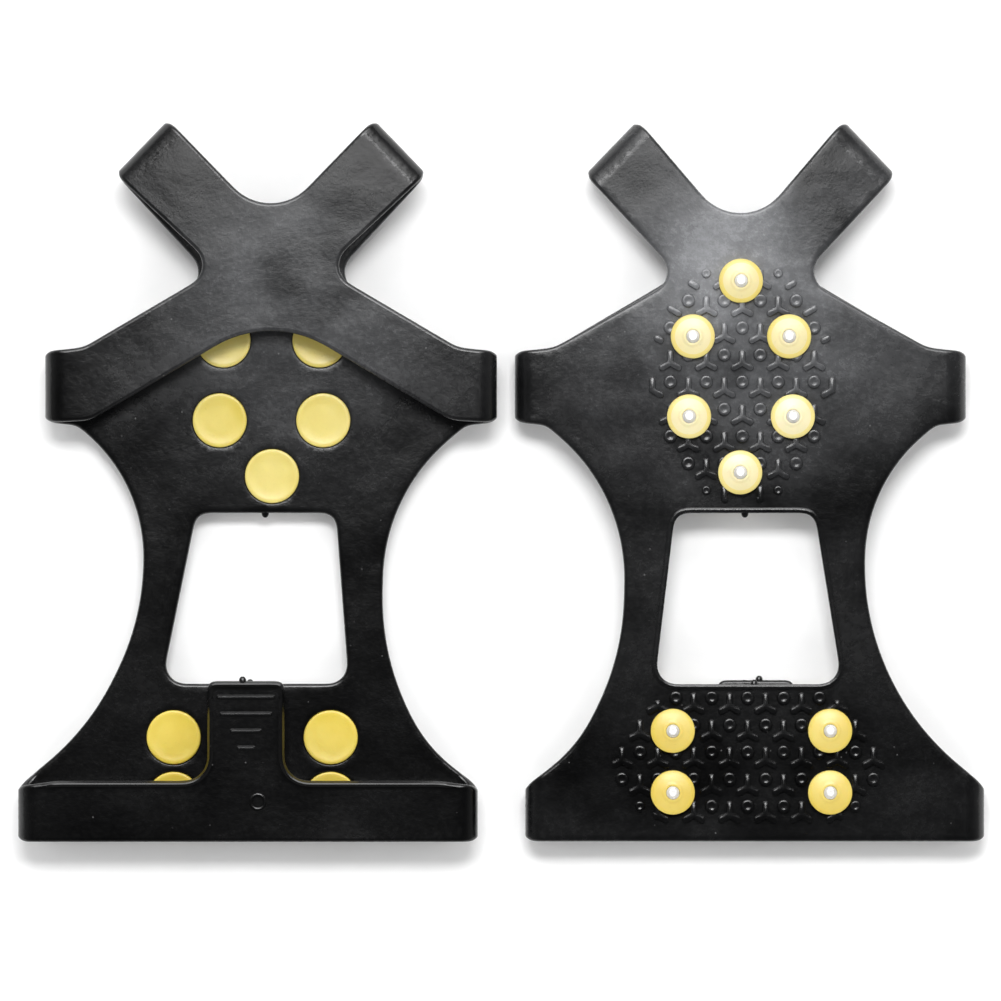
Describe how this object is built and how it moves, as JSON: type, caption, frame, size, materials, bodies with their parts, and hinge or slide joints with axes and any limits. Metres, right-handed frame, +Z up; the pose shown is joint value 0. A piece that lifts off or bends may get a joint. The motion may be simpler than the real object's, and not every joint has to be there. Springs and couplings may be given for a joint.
{
  "type": "shoe ice cleats",
  "caption": "Pair of rubber overshoe ice cleats: sole with arch window and tread, X instep strap, heel strap with pull tab, plastic stud plugs and steel pins; one foot side up, one sole up.",
  "frame": {"origin": "centre of the pair's footprint, on the surface that it lies on", "axes": "+Z up, +Y towards the toes, +X across the pair from the left cleat to the right cleat"},
  "size_m": [0.2854, 0.2122, 0.0166],
  "materials": {
    "rubber": "satin black moulded rubber",
    "stud_plastic": "satin yellow moulded plastic",
    "stud_steel": "bright zinc-plated steel"
  },
  "bodies": {
    "left_sole": {"left_sole": "rubber", "left_stud_plug_1": "stud_plastic", "left_stud_pin_1": "stud_steel", "left_stud_plug_2": "stud_plastic", "left_stud_pin_2": "stud_steel", "left_stud_plug_3": "stud_plastic", "left_stud_pin_3": "stud_steel", "left_stud_plug_4": "stud_plastic", "left_stud_pin_4": "stud_steel", "left_stud_plug_5": "stud_plastic", "left_stud_pin_5": "stud_steel", "left_stud_plug_6": "stud_plastic", "left_stud_pin_6": "stud_steel", "left_stud_plug_7": "stud_plastic", "left_stud_pin_7": "stud_steel", "left_stud_plug_8": "stud_plastic", "left_stud_pin_8": "stud_steel", "left_stud_plug_9": "stud_plastic", "left_stud_pin_9": "stud_steel", "left_stud_plug_10": "stud_plastic", "left_stud_pin_10": "stud_steel"},
    "left_instep_strap": {"left_instep_strap": "rubber"},
    "left_heel_strap": {"left_heel_strap": "rubber"},
    "right_sole": {"right_sole": "rubber", "right_stud_plug_1": "stud_plastic", "right_stud_pin_1": "stud_steel", "right_stud_plug_2": "stud_plastic", "right_stud_pin_2": "stud_steel", "right_stud_plug_3": "stud_plastic", "right_stud_pin_3": "stud_steel", "right_stud_plug_4": "stud_plastic", "right_stud_pin_4": "stud_steel", "right_stud_plug_5": "stud_plastic", "right_stud_pin_5": "stud_steel", "right_stud_plug_6": "stud_plastic", "right_stud_pin_6": "stud_steel", "right_stud_plug_7": "stud_plastic", "right_stud_pin_7": "stud_steel", "right_stud_plug_8": "stud_plastic", "right_stud_pin_8": "stud_steel", "right_stud_plug_9": "stud_plastic", "right_stud_pin_9": "stud_steel", "right_stud_plug_10": "stud_plastic", "right_stud_pin_10": "stud_steel"},
    "right_instep_strap": {"right_instep_strap": "rubber"},
    "right_heel_strap": {"right_heel_strap": "rubber"}
  },
  "joints": [
    {"name": "left_instep_strap_stretch", "type": "slide", "parent": "left_sole", "child": "left_instep_strap", "axis": [0, 0, 1], "range_m": [0, 0.03], "stiffness_N_per_m": 250},
    {"name": "left_heel_strap_fold", "type": "hinge", "parent": "left_sole", "child": "left_heel_strap", "pos_m": [-0.068, -0.10606, 0.0102], "axis": [1, 0, 0], "range_deg": [0, 80], "stiffness_Nm_per_rad": 0.08},
    {"name": "right_cleat_lift", "type": "slide", "parent": "left_sole", "child": "right_instep_strap", "axis": [0, 0, 1], "range_m": [0, 0.06]},
    {"name": "right_instep_strap_stretch", "type": "slide", "parent": "right_instep_strap", "child": "right_sole", "axis": [0, 0, 1], "range_m": [0, 0.03], "stiffness_N_per_m": 250},
    {"name": "right_heel_strap_fold", "type": "hinge", "parent": "right_sole", "child": "right_heel_strap", "pos_m": [0.0706, -0.10606, 0.0064], "axis": [-1, 0, 0], "range_deg": [0, 80], "stiffness_Nm_per_rad": 0.08}
  ]
}
